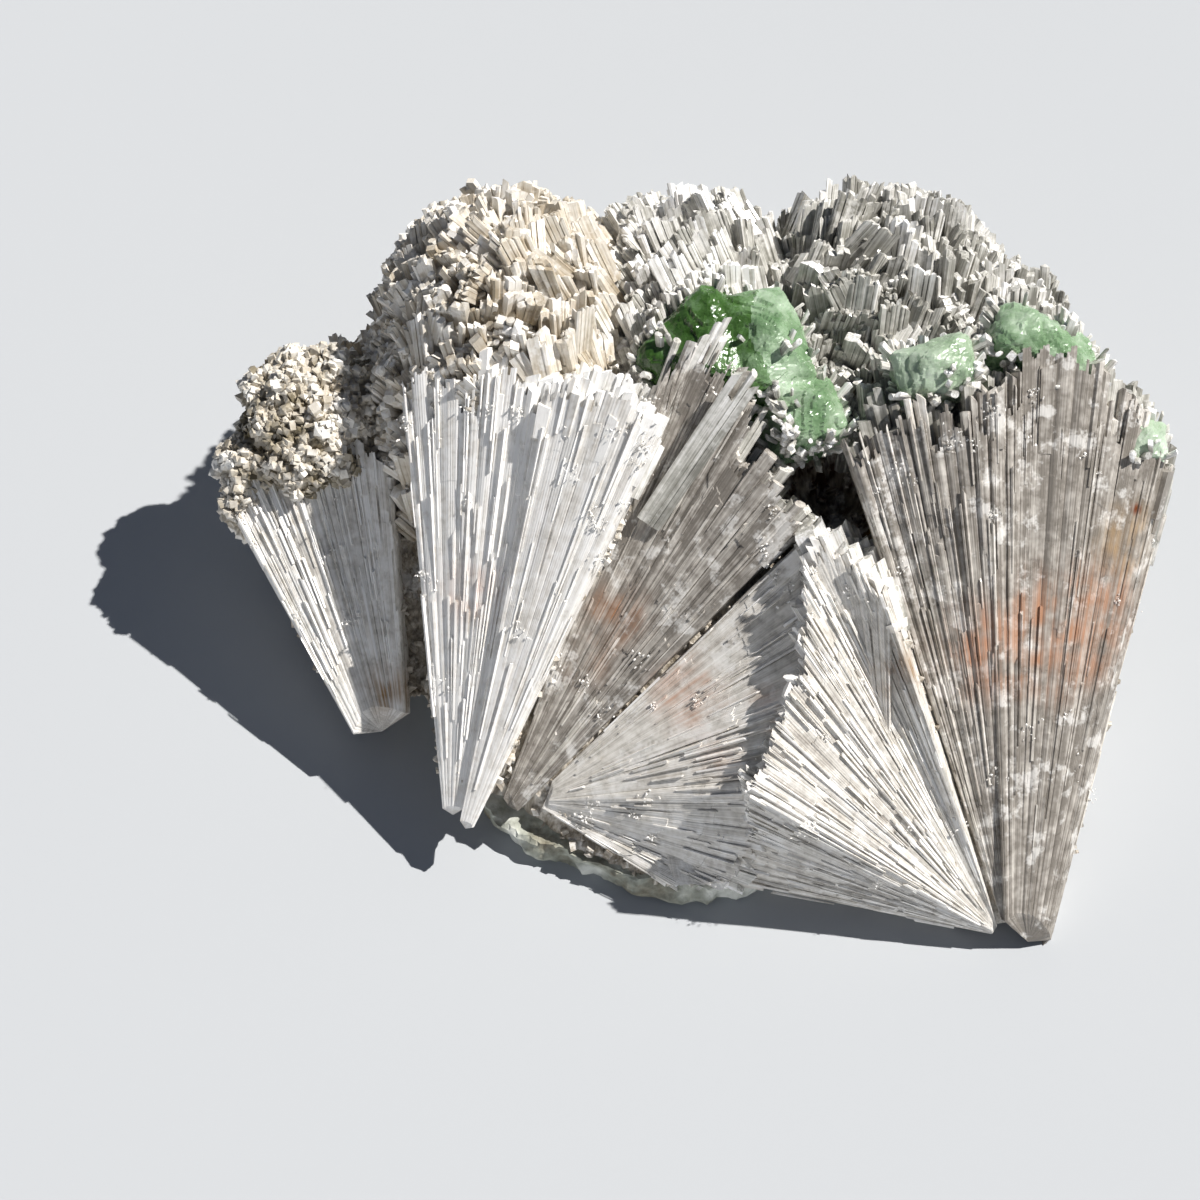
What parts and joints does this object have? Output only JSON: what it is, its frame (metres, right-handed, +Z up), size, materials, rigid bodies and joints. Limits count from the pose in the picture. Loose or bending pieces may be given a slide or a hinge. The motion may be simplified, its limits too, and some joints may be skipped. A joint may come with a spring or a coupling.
{
  "type": "scolecite crystal cluster",
  "caption": "Cluster of radiating scolecite crystals, broken open as fans at the front and ending in a crust of prisms behind, with green apophyllite crystals, on a thin skin of basalt.",
  "frame": {"origin": "middle of the flat face that the basalt rests on", "axes": "+X to the right along the row of fans, +Y from the fans to the crust behind them, +Z up"},
  "size_m": [0.1591, 0.1282, 0.0655],
  "materials": {
    "scolecite": "silky translucent white to grey, glassy on crystal faces, with faint orange-pink stains",
    "druse": "granular tan crust of tiny crystals",
    "apophyllite": "clear to frosted green",
    "basalt": "dull dark grey-green rock"
  },
  "bodies": {
    "root": {"scolecite": "scolecite", "drusy_knob": "druse", "apophyllite_large": "apophyllite", "apophyllite_inner": "apophyllite", "apophyllite_outer": "apophyllite", "apophyllite_edge": "apophyllite", "basalt_matrix": "basalt"}
  },
  "joints": []
}
